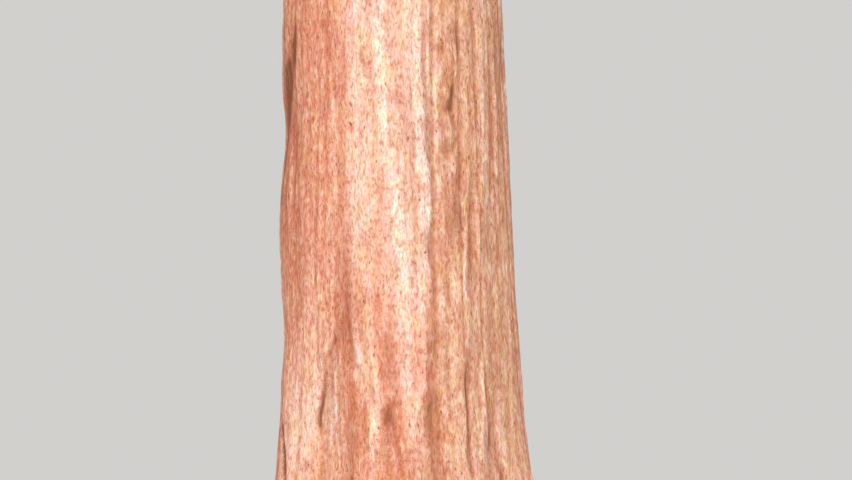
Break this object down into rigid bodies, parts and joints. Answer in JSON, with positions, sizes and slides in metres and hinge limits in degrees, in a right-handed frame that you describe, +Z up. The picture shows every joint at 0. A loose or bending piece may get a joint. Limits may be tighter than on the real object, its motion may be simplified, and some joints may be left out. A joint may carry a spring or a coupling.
{
  "type": "giant sequoia tree",
  "caption": "Tall conifer with a massive furrowed trunk, a flared foot, short heavy boughs high up and rounded clumps of foliage.",
  "frame": {"origin": "middle of the flat cut under the trunk, at ground level", "axes": "+Z up the tree, -Y towards the side of the trunk that the picture shows, +X to the right as seen from there"},
  "size_m": [9.6893, 10.2565, 40],
  "materials": {
    "bark": "thick fibrous reddish bark in vertical ridges and furrows, dull",
    "foliage": "blue-green to yellow-green scale-like needles in cord-like sprays"
  },
  "bodies": {
    "root": {"trunk": "bark", "bough_01": "bark", "bough_02": "bark", "bough_03": "bark", "bough_04": "bark", "bough_05": "bark", "bough_06": "bark", "bough_07": "bark", "bough_08": "bark", "bough_09": "bark", "bough_10": "bark", "bough_11": "bark", "bough_12": "bark", "bough_13": "bark", "bough_14": "bark", "bough_15": "bark", "bough_16": "bark", "bough_17": "bark", "bough_18": "bark", "bough_19": "bark", "bough_20": "bark", "bough_21": "bark", "bough_22": "bark", "foliage_01": "foliage", "foliage_02": "foliage", "foliage_03": "foliage", "foliage_04": "foliage", "foliage_05": "foliage", "foliage_06": "foliage", "foliage_07": "foliage", "foliage_08": "foliage", "foliage_09": "foliage", "foliage_10": "foliage", "foliage_11": "foliage", "foliage_12": "foliage", "foliage_13": "foliage", "foliage_14": "foliage", "foliage_15": "foliage", "foliage_16": "foliage", "foliage_17": "foliage", "foliage_18": "foliage", "foliage_19": "foliage", "foliage_20": "foliage", "foliage_21": "foliage", "foliage_22": "foliage", "foliage_23": "foliage", "foliage_24": "foliage", "foliage_25": "foliage", "foliage_26": "foliage", "foliage_27": "foliage", "foliage_28": "foliage", "foliage_29": "foliage", "foliage_30": "foliage", "foliage_31": "foliage", "foliage_32": "foliage", "foliage_33": "foliage", "foliage_34": "foliage", "foliage_35": "foliage", "foliage_36": "foliage", "leader_foliage": "foliage"}
  },
  "joints": []
}
